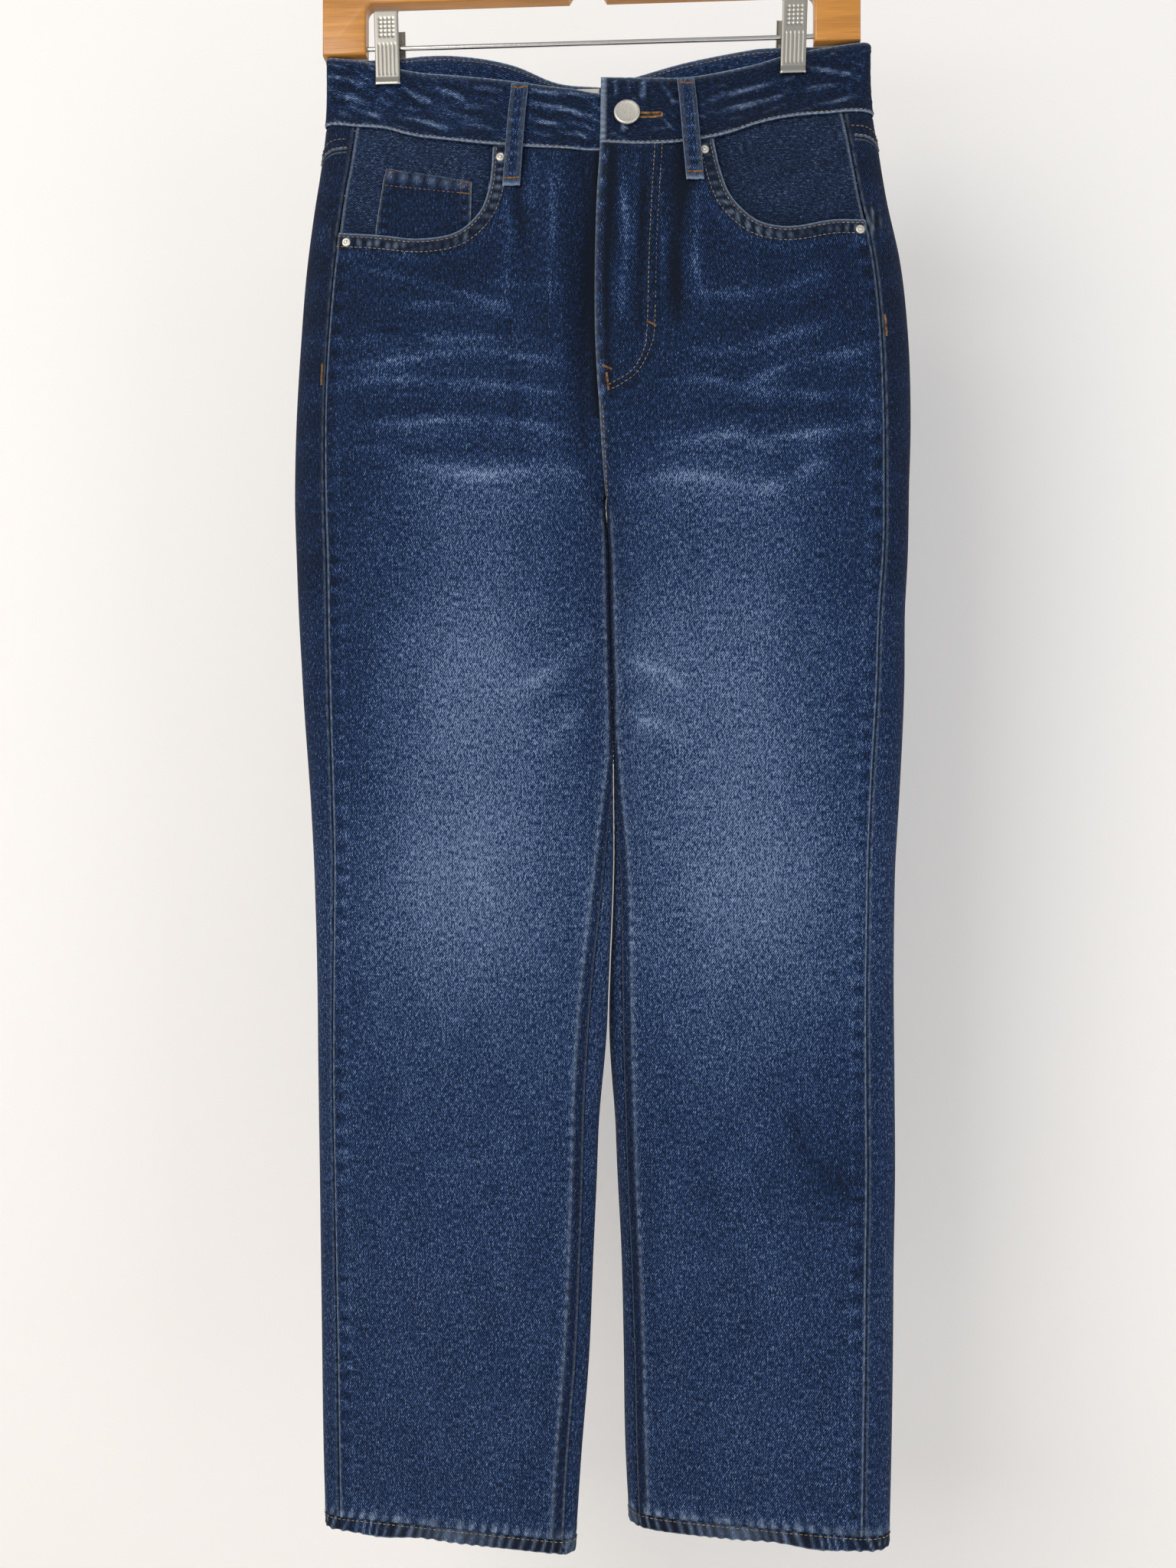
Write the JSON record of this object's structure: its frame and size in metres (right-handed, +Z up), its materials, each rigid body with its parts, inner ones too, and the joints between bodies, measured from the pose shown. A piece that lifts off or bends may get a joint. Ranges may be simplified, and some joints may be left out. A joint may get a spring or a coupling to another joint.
{
  "type": "straight-leg jeans on a clip hanger",
  "caption": "Straight-leg washed denim jeans hanging by the waistband from a wooden board hanger with a metal rod, clips and hook.",
  "frame": {"origin": "inside top of the hanger's hook, where a rail carries it", "axes": "+Z up, +X towards the picture's right, the jeans' front faces -Y"},
  "size_m": [0.4253, 0.0683, 1.1738],
  "materials": {
    "denim": "washed dark indigo cotton twill",
    "facing_denim": "unfaded dark indigo cotton twill",
    "label_cloth": "plain cream woven tape",
    "trim_metal": "dull pewter-coloured metal",
    "clip_metal": "brushed nickel",
    "rod_metal": "bright chrome",
    "board_wood": "honey-coloured satin varnish"
  },
  "bodies": {
    "root": {"front_left": "denim", "front_right": "denim", "back_left_seat": "denim", "back_left_thigh": "denim", "back_left_calf": "denim", "back_right_seat": "denim", "back_right_thigh": "denim", "back_right_calf": "denim", "yoke_left": "denim", "yoke_right": "denim", "waistband": "denim", "coin_pocket": "denim", "fly_placket": "denim", "back_pocket_left": "denim", "back_pocket_right": "denim", "hem_left": "denim", "hem_right": "denim", "belt_loop_front_left": "denim", "belt_loop_front_right": "denim", "belt_loop_back_left": "denim", "belt_loop_back_right": "denim", "belt_loop_back_middle": "denim", "pocket_facing_left": "facing_denim", "pocket_facing_right": "facing_denim", "waist_label": "label_cloth", "waist_button": "trim_metal", "rivet_left_inner": "trim_metal", "rivet_left_outer": "trim_metal", "rivet_right_inner": "trim_metal", "rivet_right_outer": "trim_metal", "clip_left_front": "clip_metal", "clip_left_back": "clip_metal", "clip_left_spring": "clip_metal", "clip_right_front": "clip_metal", "clip_right_back": "clip_metal", "clip_right_spring": "clip_metal", "hanger_rod": "rod_metal", "hanger_hook": "rod_metal", "hanger_board": "board_wood"}
  },
  "joints": []
}
